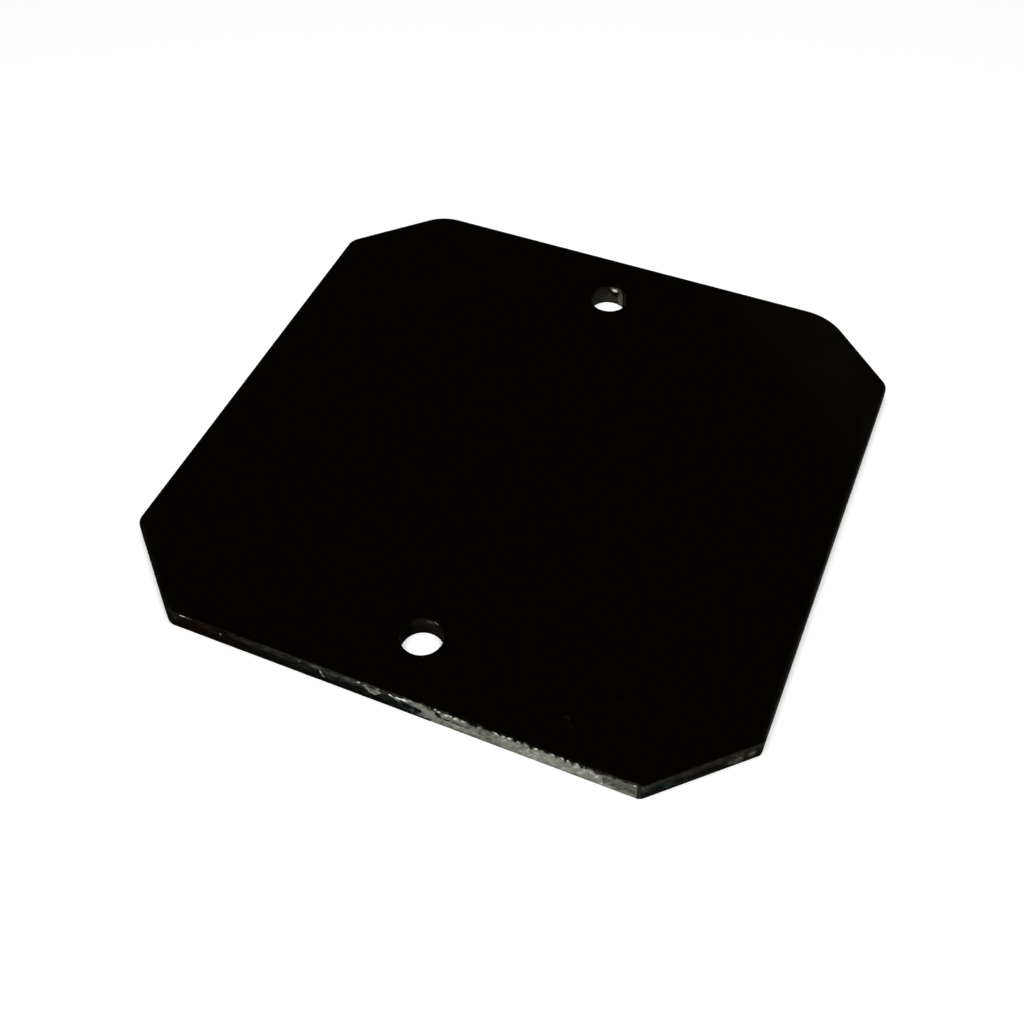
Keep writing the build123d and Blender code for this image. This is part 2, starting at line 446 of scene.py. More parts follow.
def front_steel(x, q, rag):
    """Tone of the bare steel: a plain tone with its stain, scuffs, marks and painted glints, under
    noise.
    """
    leaning = x - MARK_SLANT * q
    past_stain = x - np.interp(q, *zip(*STAIN_START))
    polish = ramp(x, *POLISH_STEP) * (1 - ramp(past_stain, *POLISH_BORDER))
    tone = STEEL_TONE + POLISH_TONE * polish
    tone = tone - STAIN_TONE * ramp(past_stain, *STAIN_BORDER) * ramp(q, *STAIN_FOOT)
    scuffed = ramp(q, *SCUFF_FOOT) * between(x, *SCUFF_ENDS)
    tone = tone - scuffed * (SCUFF_TONE + SCUFF_NOISE_TONE * lattice_noise(leaning, q, *SCUFF))
    # Marks of the steel, and painted glints along the torn border
    for *place, new_tone in STEEL_GLINTS_AND_MARKS:
        tone = laid(tone, new_tone, ramp(spot(x, q, *place) + RAG_OF_GLINTS_AND_MARKS * rag, *GLINT_AND_MARK_SOFTNESS))
    tone = tone + MOTTLE_TONE * (lattice_noise(leaning, q, *MOTTLE) - 0.5)
    tone = tone + STREAK_TONE * (lattice_noise(leaning, q, *STREAK) - 0.5)
    return tone + FINE_TONE * (lattice_noise(x, q, *FINE) - 0.5)


def front_coat(x, q, rag, bare):
    """Tone and tint of the coat: a grey band under the arris, which is a painted reflection of the
    lit floor, and patches, under clouds of noise.

    The tear has a grey fringe, whose strength follows the field of bare steel below 0.
    """
    fleece = lattice_noise(x - MARK_SLANT * q, q, *FLEECE)
    wisp = lattice_noise(x - WISP_SLANT * q, q, *WISP)
    cloud = CLOUD_TONE + BLOTCH_TONE * lattice_noise(x, q, *BLOTCH)
    cloud = cloud + FLEECE_TONE * (fleece - CLOUD_MIDDLE) + WISP_TONE * (wisp - CLOUD_MIDDLE)
    coated = 1 - ramp(x, *COAT_ENDS)
    left_part = 1 - ramp(x, *LEFT_PART)
    # Painted reflection of the lit floor in the band under the arris
    strength = REFLECTION_BAND_TONE + sum(gain * ramp(x, *step) for gain, step in REFLECTION_BAND_GAINS)
    tone = COAT_TONE + FOOT_TONE * (1 - ramp(q, *FOOT_Q)) * left_part
    tone = tone + strength * between(q, *REFLECTION_BAND_Q) * coated
    tone = tone + HAZE_TONE * ramp(x, *HAZE_STEP) * between(q, *HAZE_Q) * coated
    tint = COAT_TINT + BROWN_LEFT * (1 - ramp(x, *BROWN_LEFT_STEP))
    tint = tint + BROWN_FOOT * (1 - ramp(q, *BROWN_FOOT_Q)) * left_part
    tint = tint + TINT_SHIFT * (lattice_noise(x, q, *SHIFT) - 0.5)
    # Grey blotches, partly scuffs and partly painted reflection
    for *place, new_tone in GREY_PATCHES:
        inside = ramp(spot(x, q, *place) + RAG_OF_PATCHES * rag, *GREY_SOFTNESS)
        tone = laid(tone, new_tone, inside)
    for *place, new_tone, new_tint in TEAL_PATCHES:
        inside = ramp(spot(x, q, *place) + RAG_OF_PATCHES * rag, *TEAL_SOFTNESS)
        tone, tint = laid(tone, new_tone, inside), laid(tint, new_tint, inside)
    tone = tone * cloud * (1 - ramp(q, *TOP_FADE))
    for gain, field_step, step, fade in FRINGES:
        fringe = fleece * ramp(bare, *field_step) * ramp(x, *step)
        tone = tone + gain * fringe * (1 - ramp(q, *fade))
    over_stain = ramp(x, *OVER_STAIN_STEP) * between(q, *OVER_STAIN_Q) * (x < BARE_END)
    tone = tone + OVER_STAIN_TONE * fleece * over_stain
    return laid(tone, VERTEX_TONE, ramp(x, *VERTEX_STEP) * (1 - ramp(q, *VERTEX_FADE))), tint


def front_wear_and_painted_light(x, q):
    """Wear and painted light of the front edge: field of bare steel in millimetres, tones and tint from
    0 to 1.
    """
    rag = RAG_HEIGHT * (lattice_noise(x - MARK_SLANT * q, q, *RAG) - 0.5)
    bare = front_bare(x, q, rag)
    steel = front_steel(x, q, rag)
    coat, tint = front_coat(x, q, rag, bare)
    # Flecks of bare metal, the brightest painted as glints
    for *place, new_tone in METAL_FLECKS_AND_GLINTS:
        field = spot(x, q, *place) + RAG_OF_PATCHES * rag
        bare = np.maximum(bare, field)
        steel = laid(steel, new_tone, ramp(field, *FLECK_SOFTNESS))
    return bare, steel, coat, tint


# Wear and painted light of the front right clip, where s runs from the front vertex to the right
# vertex; the bright bluish blotches near s 0.3 to 1 are a painted highlight:
# centre s, centre q, half length, half height, tilt, tone, tint
CLIP_BLOTCHES = [
    (0.1, 1.9, 0.35, 1.6, 0, 0.26, 0.44), (0.3, 2.55, 0.22, 0.3, 0, 0.75, 0.4),
    (1.0, 2.5, 0.16, 0.2, 0, 0.6, 0.4), (0.75, 1.75, 0.2, 0.24, 0, 0.9, 0.42),
    (1.2, 1.2, 0.8, 0.4, 0, 0.1, 0.35), (1.8, 2.9, 0.5, 0.3, 0, 0.4, 0.5),
    (2.2, 1.6, 0.5, 0.4, 0, 0.1, 0.4), (2.6, 2.75, 0.8, 0.35, 0, 0.36, 0.22),
    (2.7, 2.2, 0.5, 0.3, 0, 0.2, 0.1), (3.0, 1.55, 0.6, 0.4, 0, 0.05, 0.1),
    (4.0, 1.3, 0.5, 0.6, 0, 0.4, 0.26), (4.3, 2.8, 0.9, 0.35, 0, 0.32, 0.6),
    (5.5, 1.6, 0.8, 0.5, 0, 0.08, 0.6), (6.1, 2.6, 0.4, 0.5, 25, 0.36, 0.5),
    (6.9, 2.5, 0.55, 0.6, 35, 0.36, 0.55), (8.1, 2.7, 0.4, 0.5, 25, 0.3, 0.58),
    (6.8, 0.7, 2.2, 0.4, 0, 0.14, 0.66), (9.1, 2.8, 0.5, 0.45, 25, 0.3, 0.5),
    (9.3, 1.4, 2.2, 0.55, 0, 0.05, 0.64), (11.1, 2.7, 0.55, 0.5, -25, 0.34, 0.55),
    (12.2, 2.2, 0.4, 0.6, -20, 0.16, 0.48), (12.9, 1.8, 0.5, 0.5, -30, 0.24, 0.55),
    (13.3, 1.3, 0.5, 0.6, -30, 0.6, 0.68), (14.2, 2.5, 0.6, 0.45, -40, 0.44, 0.66),
    (14.3, 1.3, 0.55, 0.4, 0, 0.85, 0.68), (13.4, 3.0, 0.7, 0.25, 0, 0.3, 0.66),
    (14.3, 0.7, 0.7, 0.35, 0, 0.66, 0.68), (16.2, 1.5, 0.5, 0.6, -20, 0.95, 0.68),
    (15.2, 1.5, 0.2, 0.5, 0, 0.24, 0.66), (16.7, 2.7, 0.6, 0.4, 0, 0.26, 0.48),
    (17.3, 1.4, 0.35, 0.7, 0, 0.08, 0.68),
]
CLIP_CLOUDS = (1.0, 0.6, 21)
CLIP_CLOUD_SLANT = 0.6
CLIP_GRAIN = (0.35, 0.4, 22)
CLIP_GRAIN_SLANT = -0.8
CLIP_TONE = 0.09
CLIP_TINT = 0.62
# The clip's grey upper band is a painted reflection of the lit floor
CLIP_REFLECTION_BAND_TONE = 0.15
CLIP_REFLECTION_BAND_Q = ((1.0, 2.0), (3.1, 3.4))
CLIP_SOFTNESS = (-0.3, 0.15)
CLIP_FADE = (3.3, 3.6)


def clip_wear_and_painted_light(s, q):
    """Tone and tint of the front right clip: a grey band, a painted reflection of the lit floor, with
    blotches laid over it, a few of them a painted highlight.
    """
    cloud = lattice_noise(s - CLIP_CLOUD_SLANT * q, q, *CLIP_CLOUDS)
    grain = lattice_noise(s - CLIP_GRAIN_SLANT * q, q, *CLIP_GRAIN)
    # Painted reflection of the lit floor in the upper band
    tone = CLIP_TONE + CLIP_REFLECTION_BAND_TONE * between(q, *CLIP_REFLECTION_BAND_Q) * (0.3 + 0.8 * cloud + 0.5 * grain)
    tint = CLIP_TINT + 0 * s
    for *place, new_tone, new_tint in CLIP_BLOTCHES:
        inside = ramp(spot(s, q, *place), *CLIP_SOFTNESS) * (0.6 + 0.5 * cloud)
        tone, tint = laid(tone, new_tone, inside), laid(tint, new_tint, inside)
    return tone * (0.6 + 0.6 * grain) * (1 - ramp(q, *CLIP_FADE)), tint


# Marks on the top face: points of a line through x and y, half width, tone and tint
TOP_MARKS = [
    ([(23.05, -42.3), (23.4, -42.5)], 0.26, 0.065, 0.4),
    ([(23.95, -43.3), (24.25, -43.5)], 0.3, 0.03, 0.5),
    ([(28.05, -37.6), (28.85, -37.4), (29.45, -37.4)], 0.13, 0.035, 0.8),
    ([(29.45, -37.4), (29.95, -37.8), (30.55, -38.4)], 0.11, 0.022, 0.8),
    ([(45.05, -16.55), (45.35, -16.55)], 0.18, 0.025, 0.5),
]
MARK_BORDER = 0.15          # the marks fade out over this much
MARK_GRAIN = (0.25, 0.25, 63)
FAR_RIGHT_STEP = (60, 80)        # x + y where the lightening of the far right begins and is full
FAR_RIGHT_TONE = 0.035
FAR_RIGHT_CLOUDS = (5, 5, 61)
FAR_RIGHT_TINTS = (8, 8, 62)


def top_wear(x, y):
    """Tone and tint of the top face: lighter and warmer towards the far right, and the few small marks.
    """
    # Lighter and warmer towards the far right
    toward_far_right = ramp(x + y, *FAR_RIGHT_STEP)
    tone = FAR_RIGHT_TONE * toward_far_right * (0.4 + lattice_noise(x, y, *FAR_RIGHT_CLOUDS))
    tint = 0.5 + toward_far_right * (0.1 + 0.5 * lattice_noise(x, y, *FAR_RIGHT_TINTS))
    for line, half_width, new_tone, new_tint in TOP_MARKS:
        inside = ramp(stroke(x, y, line, half_width), -MARK_BORDER, half_width)
        inside = inside * (0.5 + lattice_noise(x, y, *MARK_GRAIN))
        tone, tint = laid(tone, new_tone, inside), laid(tint, new_tint, inside)
    return tone, tint


# Coat of the other sides, where the noise runs from station to station of the outline
SIDE_TONE = 0.05
SIDE_TINT = 0.62
SIDE_CLOUDS = (4, 0.8, 32)
# Clouds and rows of q of the painted sheen on each side's arris
ARRIS_SHEEN_CLOUDS = (6, 1.0, 31)
ARRIS_SHEEN_Q = ((3.0, 3.3), (3.6, 3.8))
UNDER_COAT = 0.35           # tone of steel that no wear has reached
COVERED = -1.0              # field of bare steel where the coat is whole
TOP_STEP = (0.3, 0.88)      # from the arris inwards, the edge's wear gives way to the top face's


def edge_wear_and_painted_light(places, sides, inset, height):
    """Bare field, steel tone, coat tone and tint at every point of the sheared edge, with the painted
    sheen, reflections and glints carried in the tones.
    """
    x, y = places[:, :1] + 0 * inset, places[:, 1:] + 0 * inset
    q = wear_q(height, inset) + 0 * x
    around = np.arange(len(places))[:, None] + 0 * q
    bare = np.full(q.shape, COVERED)
    steel = np.full(q.shape, UNDER_COAT)
    tint = np.full(q.shape, SIDE_TINT)
    # The coat of each side gets a painted sheen on its arris, in place of the shoulder's reflection
    sheen_on_side = np.array([ARRIS_SHEEN_ON_SIDE[i] for i in sides])[:, None]
    arris_sheen = between(q, *ARRIS_SHEEN_Q) * (0.3 + lattice_noise(around, q, *ARRIS_SHEEN_CLOUDS))
    coat = SIDE_TONE * lattice_noise(around, q, *SIDE_CLOUDS) + sheen_on_side * arris_sheen
    corner_x = WIDTH / 2 - CLIP
    along_clip = ((x - corner_x) + (y + DEPTH / 2)) / math.sqrt(2)
    front = (sides == FRONT) & (places[:, 0] < corner_x + FRONT_STEP)
    clip = ((sides == FRONT) | (sides == FRONT_RIGHT_CLIP)) & ~front
    bare[front], steel[front], coat[front], tint[front] = front_wear_and_painted_light(x[front], q[front])
    coat[clip], tint[clip] = clip_wear_and_painted_light(along_clip[clip], q[clip])
    top_tone, top_tint = top_wear(x, y)
    on_top = ramp(inset + 0 * q, *TOP_STEP) * (height > FRACTURE_HEIGHT)
    return bare, steel, laid(coat, top_tone, on_top), laid(tint, top_tint, on_top)


# Wear and painted light in the holes: the angle runs from the far wall, 0, towards +X, and q is
# the height. Most of the lighter patches are painted light: the lit upper wall, highlights and,
# where the steel is bare, glints on the rim.
# Centre angle, centre q, half angle, half height, tone, tint, and 1 where the steel is bare
FRONT_HOLE_PATCHES = (
    (-22, 2.75, 38, 0.75, 0.2, 0.5, 0), (-38, 1.5, 12, 0.5, 0.1, 0.8, 0),
    (8, 1.3, 44, 0.9, 0.17, 1.0, 0), (70, 1.8, 20, 1.6, 0.06, 1.0, 0), (6, 2.1, 24, 0.5, 0.2, 0.68, 0),
    (10, 3.0, 20, 0.3, 0.3, 0.64, 0), (-2, 2.9, 13, 0.45, 0.6, 0.6, 0),
    (-4, 2.95, 7, 0.26, 0.85, 0.56, 0), (17, 3.34, 9, 0.13, 0.6, 0.5, 1),
)
BACK_HOLE_PATCHES = (
    (-50, 1.7, 55, 2.0, 0.28, 0.64, 0), (-10, 1.0, 34, 0.8, 0.44, 0.64, 0),
    (-15, 1.8, 6, 0.4, 0.55, 0.5, 0), (4, 3.3, 24, 0.45, 0.8, 0.68, 0), (-10, 2.7, 7, 0.4, 0.1, 0.4, 0),
    (23, 1.5, 12, 1.9, 0.98, 0.58, 0), (5, 2.15, 7, 0.35, 0.04, 0.2, 0),
    (0, 2.9, 11, 0.38, 0.95, 0.6, 1), (0, 3.4, 6, 0.14, 0.4, 1.0, 0), (50, 2.0, 18, 1.7, 0.34, 0.8, 0),
    (62, 2.6, 14, 0.8, 0.2, 1.0, 0),
)
HOLE_PATCHES = (FRONT_HOLE_PATCHES, BACK_HOLE_PATCHES)
HOLE_STREAKS = (6, 1.2)     # cell round the wall in degrees and cell up it
HOLE_SEEDS = (41, 42)
HOLE_TONE = 0.02
HOLE_STREAK_TONE = 0.05
HOLE_TINT = 0.8
HOLE_DARK_SIDES = (40, 70)  # angle to either side of the far wall where the plain tone fades
HOLE_SOFTNESS = (-0.25, 0.45)
HOLE_BARE_SLOPE = 0.2
HOLE_RIM_FADE = (3.5, 3.7)


def hole_wear_and_painted_light(which, angle, q):
    """Bare field, tones and tint of a hole's wall, from a dim brown with patches laid over it, the
    brightest of them painted highlights and glints.
    """
    streak = lattice_noise(angle, q, *HOLE_STREAKS, HOLE_SEEDS[which])
    tone = (HOLE_TONE + HOLE_STREAK_TONE * streak) * (1 - ramp(np.abs(angle), *HOLE_DARK_SIDES))
    tint = HOLE_TINT + 0 * q
    bare = np.full(q.shape, COVERED)
    # Patches of the wall; the lighter ones are mostly painted light, highlights and glints
    for centre_a, centre_q, half_a, half_q, new_tone, new_tint, is_bare in HOLE_PATCHES[which]:
        field = 1 - np.hypot((angle - centre_a) / half_a, (q - centre_q) / half_q)
        inside = ramp(field, *HOLE_SOFTNESS)
        tone, tint = laid(tone, new_tone, inside), laid(tint, new_tint, inside)
        if is_bare:
            bare = np.maximum(bare, HOLE_BARE_SLOPE * field)
    rim = 1 - ramp(q, *HOLE_RIM_FADE)
    return bare, tone, tone * rim, 0.5 + (tint - 0.5) * rim


def hole_wall(which):
    """One punched hole: the turned section of rim, land, torn cone and worn arris."""
    r = HOLE_SHOULDER_R
    arc = np.linspace(0, math.pi / 2, HOLE_SHOULDER_POINTS)
    land = np.linspace(THICKNESS - r, BREAKOUT_HEIGHT, LAND_POINTS)[1:]
    cone = np.linspace(0, 1, CONE_POINTS)[1:]
    radius = np.concatenate([
        [HOLE_R + 3 * r], HOLE_R + r - r * np.sin(arc), HOLE_R + 0 * land,
        HOLE_R + BREAKOUT_FLARE * cone, [HOLE_R + BREAKOUT_FLARE + HOLE_BREAK],
    ])
    height = np.concatenate([
        [THICKNESS], THICKNESS - r + r * np.cos(arc), land,
        BREAKOUT_HEIGHT + (HOLE_BREAK - BREAKOUT_HEIGHT) * cone, [0],
    ])
    turn = np.arange(HOLE_STEPS) / HOLE_STEPS * 2 * math.pi - math.pi
    x = np.sin(turn)[:, None] * radius
    y = np.cos(turn)[:, None] * radius + HOLE_Y[which]
    z = height + 0 * x
    q = wear_q(z, radius - HOLE_R)
    wear = hole_wear_and_painted_light(which, np.degrees(turn)[:, None] + 0 * q, q)
    grid = np.arange(x.size).reshape(x.shape)
    return np.stack([x, y, z], -1).reshape(-1, 3), grid, np.stack([w.ravel() for w in wear], -1)


def mark_points():
    """Close grids of points over the marks of the top face, so that they are drawn sharply."""
    fields = []
    for line, half_width, _, _ in TOP_MARKS:
        corners = np.array(line)
        margin = half_width + MARK_MARGIN
        start, end = corners.min(0) - margin, corners.max(0) + margin
        gx, gy = np.meshgrid(*[np.arange(a, b, MARK_STEP) for a, b in zip(start, end)])
        fields.append(np.stack([gx.ravel(), gy.ravel()], -1))
    return np.concatenate(fields)


def flat_face(points, loops, z):
    """Triangles of a flat face between the outer loop and the hole loops, on a loose grid."""
    ring = np.concatenate(loops)
    flat = points[ring][:, :2]
    sizes = [len(loop) for loop in loops]
    starts = np.cumsum([0] + sizes[:-1])
    edges = [(s + i, s + (i + 1) % n) for s, n in zip(starts, sizes) for i in range(n)]
    gx, gy = np.meshgrid(
        np.arange(-WIDTH / 2, WIDTH / 2, FACE_STEP), np.arange(-DEPTH / 2, DEPTH / 2, FACE_STEP)
    )
    grid = np.stack([gx.ravel(), gy.ravel()], -1)
    inside = (np.abs(grid) < np.array([WIDTH, DEPTH]) / 2 - FACE_STEP / 2).all(1)
    inside &= np.abs(grid).sum(1) < (WIDTH + DEPTH) / 2 - CLIP - 2 * FACE_STEP
    for hole_y in HOLE_Y:
        inside &= np.hypot(grid[:, 0], grid[:, 1] - hole_y) > HOLE_R + FACE_STEP / 2
    grid = grid[inside]
    if z > 0:
        grid = np.concatenate([grid, mark_points()])
    everything = [Vector(p) for p in np.concatenate([flat, grid])]
    pairs = [(int(a), int(b)) for a, b in edges]
    _, _, faces, sources, _, _ = geometry.delaunay_2d_cdt(everything, pairs, [], 0, MERGE_DISTANCE)
    first_source = np.array([found[0] for found in sources])
    triangles = first_source[np.array([face for face in faces if len(face) == 3])]
    owner = np.repeat(np.arange(len(loops)), sizes)
    owner = np.concatenate([owner, np.full(len(grid), -1)])[triangles]
    across_hole = (owner > 0).all(1) & (owner == owner[:, :1]).all(1)
    inner = np.column_stack([grid, np.full(len(grid), z)])
    return inner, triangles[~across_hole]


# Depth of the wear: the coat's own, that of the crack, and that of the shear's drag lines
COAT_DEPTH = 0.07
COAT_BORDER = (-0.04, 0.04)
CRACK_DEPTH = 0.12
CRACK_GROOVE = 0.09         # half width of the groove along the crack
CRACK_SIDE = 0.05
DRAG_DEPTH = 0.05
DRAG_WAVES = (1.1, 0.8, 51)
DRAG_STREAKS = (0.25, 1.5, 52)
DRAG_STREAK_SHARE = 0.4


def edge_surface():
    """Points of the sheared edge as a grid of stations and rows, and the wear at each point.

    Every point of the section is moved against its normal by the depth of the wear there.
    """
    places, outs, sides = rounded_outline()
    inset, height, n_out, n_up = edge_section()
    marks = edge_wear_and_painted_light(places, sides, inset, height)
    front = (sides == FRONT)[:, None]
    x = places[:, :1] + 0 * inset
    q = wear_q(height, inset) + 0 * x
    drag = lattice_noise(x, q, *DRAG_WAVES) + DRAG_STREAK_SHARE * lattice_noise(x, q, *DRAG_STREAKS)
    depth = COAT_DEPTH * ramp(marks[0], *COAT_BORDER)
    depth += CRACK_DEPTH * ramp(stroke(x, q, CRACK, CRACK_GROOVE), 0, CRACK_SIDE) * front
    depth += DRAG_DEPTH * drag * front * np.clip(n_out, 0, 1)
    depth[:, 0] = 0
    depth[:, -1] = 0
    reach = inset + depth * n_out
    grid = np.stack([
        places[:, :1] - outs[:, :1] * reach,
        places[:, 1:] - outs[:, 1:] * reach,
        height - depth * n_up,
    ], -1)
    return grid, np.stack(marks, -1)


def plate_surface():
    """The plate's skin as points, wall quads, face triangles and the wear at each point."""
    edge, marks = edge_surface()
    columns, rows = edge.shape[:2]
    index = np.arange(columns * rows).reshape(columns, rows)
    walls = [index] + [None] * len(HOLE_Y)
    points, wear, start = [edge.reshape(-1, 3)], [marks.reshape(-1, marks.shape[-1])], index.size
    for which in range(len(HOLE_Y)):
        hole, grid, hole_marks = hole_wall(which)
        points.append(hole)
        wear.append(hole_marks)
        walls[which + 1] = grid + start
        start += len(hole)
    quads = []
    for grid in walls:
        after = np.roll(grid, -1, axis=0)
        corners = [grid[:, :-1], grid[:, 1:], after[:, 1:], after[:, :-1]]
        quads.append(np.stack(corners, -1).reshape(-1, 4))
    points = np.concatenate(points)
    triangles = []
    for row, z in ((0, THICKNESS), (-1, 0.0)):
        loops = [grid[:, row] for grid in walls]
        inner, found = flat_face(points, loops, z)
        lookup = np.concatenate([*loops, np.arange(len(points), len(points) + len(inner))])
        points = np.concatenate([points, inner])
        plain = 0 * inner[:, 0]
        tone, tint = top_wear(inner[:, 0], inner[:, 1]) if z > 0 else (plain, plain + 0.5)
        wear.append(np.stack([plain + COVERED, plain, tone, tint], -1))
        found = lookup[found]
        triangles.append(found if row == 0 else found[:, ::-1])
    return points, np.concatenate(quads), np.concatenate(triangles), np.concatenate(wear)


# Fields of the wear, as the material reads them
WEAR_FIELDS = ("bare", "steel", "coat", "tint")


def make_plate():
    """The mesh object: smooth walls, flat faces and the wear as point attributes."""
    points, quads, triangles, wear = plate_surface()
    mesh = bpy.data.meshes.new("cover_plate_skin")
    mesh.from_pydata((points * MM).tolist(), [], quads.tolist() + triangles.tolist())
    smooth = np.zeros(len(mesh.polygons), bool)
    smooth[: len(quads)] = True
    mesh.polygons.foreach_set("use_smooth", smooth)
    for k, name in enumerate(WEAR_FIELDS):
        attribute = mesh.attributes.new(name, "FLOAT", "POINT")
        attribute.data.foreach_set("value", np.ascontiguousarray(wear[:, k], dtype=np.float32))
    mesh.update()
    plate = bpy.data.objects.new("cover_plate_skin", mesh)
    bpy.context.scene.collection.objects.link(plate)
    mesh.materials.append(worn_black_enamel())
    return plate


def linear(hex_colour):
    """Linear colour of an sRGB hex value such as #1a1a1a."""
    parts = [int(hex_colour[i:i + 2], 16) / 255 for i in (1, 3, 5)]
    return [c / 12.92 if c <= 0.04045 else ((c + 0.055) / 1.055) ** 2.4 for c in parts] + [1.0]


def node(tree, kind, links=None, stops=None, **settings):
    """Adds a node: settings are properties or input values, links feed its inputs."""
    made = tree.nodes.new("ShaderNode" + kind)
    for name, value in settings.items():
        if hasattr(made, name):
            setattr(made, name, value)
        else:
            made.inputs[name.replace("_", " ")].default_value = value
    for i, (place, colour) in enumerate(stops or []):
        element = made.color_ramp.elements[i] if i < 2 else made.color_ramp.elements.new(place)
        element.position = place
        element.color = linear(colour)
    for key, source in (links or {}).items():
        tree.links.new(source, made.inputs[key])
    return made


def new_material(name):
    """Empty node material with its output and principled shader joined."""
    material = bpy.data.materials.new(name)
    material.use_nodes = True
    tree = material.node_tree
    tree.nodes.clear()
    out = node(tree, "OutputMaterial")
    shader = node(tree, "BsdfPrincipled")
    tree.links.new(shader.outputs[0], out.inputs[0])
    return material, tree, shader


def noise(tree, where, spacing, detail):
    """Noise from 0 to 1 with its waves a spacing apart, in millimetres."""
    scale = 1 / (spacing * MM)
    return node(tree, "TexNoise", {"Vector": where}, Scale=scale, Detail=detail).outputs["Fac"]


def remapped(tree, value, levels, step=(0.0, 1.0)):
    """A straight line from one level to the other over the step, and flat past its ends."""
    return node(
        tree, "MapRange", {"Value": value},
        From_Min=step[0], From_Max=step[1], To_Min=levels[0], To_Max=levels[1],
    ).outputs[0]


def product(tree, one, other):
    """Product of two colours."""
    return node(
        tree, "Mix", {6: one, 7: other}, data_type="RGBA", blend_type="MULTIPLY", Factor=1.0
    ).outputs[2]


# Scales of the finish, in millimetres
ORANGE_PEEL = 1.1           # spacing of the sprayed coat's waves
COAT_GRAIN = 0.25           # grain of the coat, drawn about twice as coarse so that it shows
DRAG_LINES = 0.16           # spacing of the shear's drag lines
DRAG_STRETCH = 0.12         # the drag lines are drawn out along Z by one over this
RUB_PATCHES = 14.0          # spacing of the faint handled areas
MASK_STEP = (-0.03, 0.03)   # bare field over which the coat gives way to steel
BUMP_HEIGHT = 0.02          # height of the coat's waves and of the drag lines

# Looks of the finish
COAT_COLOURS = [(0.0, "#040301"), (1.0, "#666460"), (0.4, "#302f2d")]
STEEL_COLOURS = [(0.0, "#2e2f29"), (1.0, "#f6f4ea"), (0.5, "#808276")]
TINT_COLOURS = [(0.0, "#86ffff"), (1.0, "#ffbc98"), (0.5, "#ffffff"), (0.7, "#fffbd9")]
COAT_SPECULAR = 0.0006      # the photographed coat has hardly any gloss
COAT_ROUGHNESS = (0.3, 0.5)
STEEL_ROUGHNESS = (0.38, 0.55)
METAL_SHARE = 0.85          # bare steel is partly stained, so it is not all metal
GRAIN_LEVELS = (0.6, 1.4)   # the grain multiplies the coat's colour by these
DRAG_STEP = (0.3, 0.7)      # over this step of the drag lines
DRAG_LEVELS = (0.82, 1.12)  # the steel's colour is multiplied by these
PEEL_STRENGTH = 0.12
DRAG_STRENGTH = 0.5


def worn_black_enamel():
    """Dull black enamel on sheared mild steel.

    The coat is close to pure black and has hardly any gloss, so its reflections on the edges,
    arrises and hole walls are painted into its tone as grey, and so are its highlights. Scuffs
    also turn it grey, and dirt blue-green or brown. Where it is torn off, dull grey steel shows,
    brighter where it was rubbed and where glints are painted.
    """
    material, tree, shader = new_material("worn_black_enamel_on_steel")
    bare, steel_tone, coat_tone, tint = [
        node(tree, "Attribute", attribute_name=name).outputs["Fac"] for name in WEAR_FIELDS
    ]
    mask = remapped(tree, bare, (0.0, 1.0), MASK_STEP)
    place = node(tree, "TexCoord").outputs["Object"]
    drawn_out = (1.0, 1.0, DRAG_STRETCH)
    flat = node(tree, "Mapping", {"Vector": place}, vector_type="POINT", Scale=drawn_out).outputs[0]
    grain = noise(tree, place, COAT_GRAIN, 2.0)
    peel = noise(tree, place, ORANGE_PEEL, 1.0)
    rubbed = noise(tree, place, RUB_PATCHES, 3.0)
    drag = noise(tree, flat, DRAG_LINES, 3.0)

    coat = node(tree, "ValToRGB", {"Fac": coat_tone}, stops=COAT_COLOURS).outputs[0]
    steel = node(tree, "ValToRGB", {"Fac": steel_tone}, stops=STEEL_COLOURS).outputs[0]
    hue = node(tree, "ValToRGB", {"Fac": tint}, stops=TINT_COLOURS).outputs[0]
    coat = product(tree, product(tree, coat, hue), remapped(tree, grain, GRAIN_LEVELS))
    steel = product(tree, steel, remapped(tree, drag, DRAG_LEVELS, DRAG_STEP))
    colour = node(tree, "Mix", {0: mask, 6: coat, 7: steel}, data_type="RGBA").outputs[2]

    coat_rough = remapped(tree, rubbed, COAT_ROUGHNESS)
    steel_rough = remapped(tree, drag, STEEL_ROUGHNESS)
    rough = node(tree, "Mix", {0: mask, 2: coat_rough, 3: steel_rough}).outputs[0]
    metal = remapped(tree, mask, (0.0, METAL_SHARE))

    height = BUMP_HEIGHT * MM
    waves = node(tree, "Bump", {"Height": peel}, Strength=PEEL_STRENGTH, Distance=height).outputs[0]
    grooves = node(tree, "Bump", {"Height": drag}, Strength=DRAG_STRENGTH, Distance=height).outputs[0]
    normal = node(tree, "Mix", {0: mask, 4: waves, 5: grooves}, data_type="VECTOR").outputs[1]

    tree.links.new(colour, shader.inputs["Base Color"])
    tree.links.new(rough, shader.inputs["Roughness"])
    tree.links.new(metal, shader.inputs["Metallic"])
    tree.links.new(normal, shader.inputs["Normal"])
    shader.inputs["Specular IOR Level"].default_value = COAT_SPECULAR
    return material


# Studio
FLOOR_SIZE = 1.0
FLOOR_COLOUR = "#ffffff"
FLOOR_GLOW = 0.1            # added to the floor as it is seen, so that it is white to the corners
FLOOR_ROUGHNESS = 0.9
ROOM_DIM = 0.12             # level of the room above the pale backdrop
BACKDROP_EDGE = (0.42, 0.55)    # height on the unit sphere where the backdrop fades into the room
LAMP_PLACE = (0.1, -0.28, 1.15)
LAMP_SIZE = 0.7
LAMP_POWER = 13.6


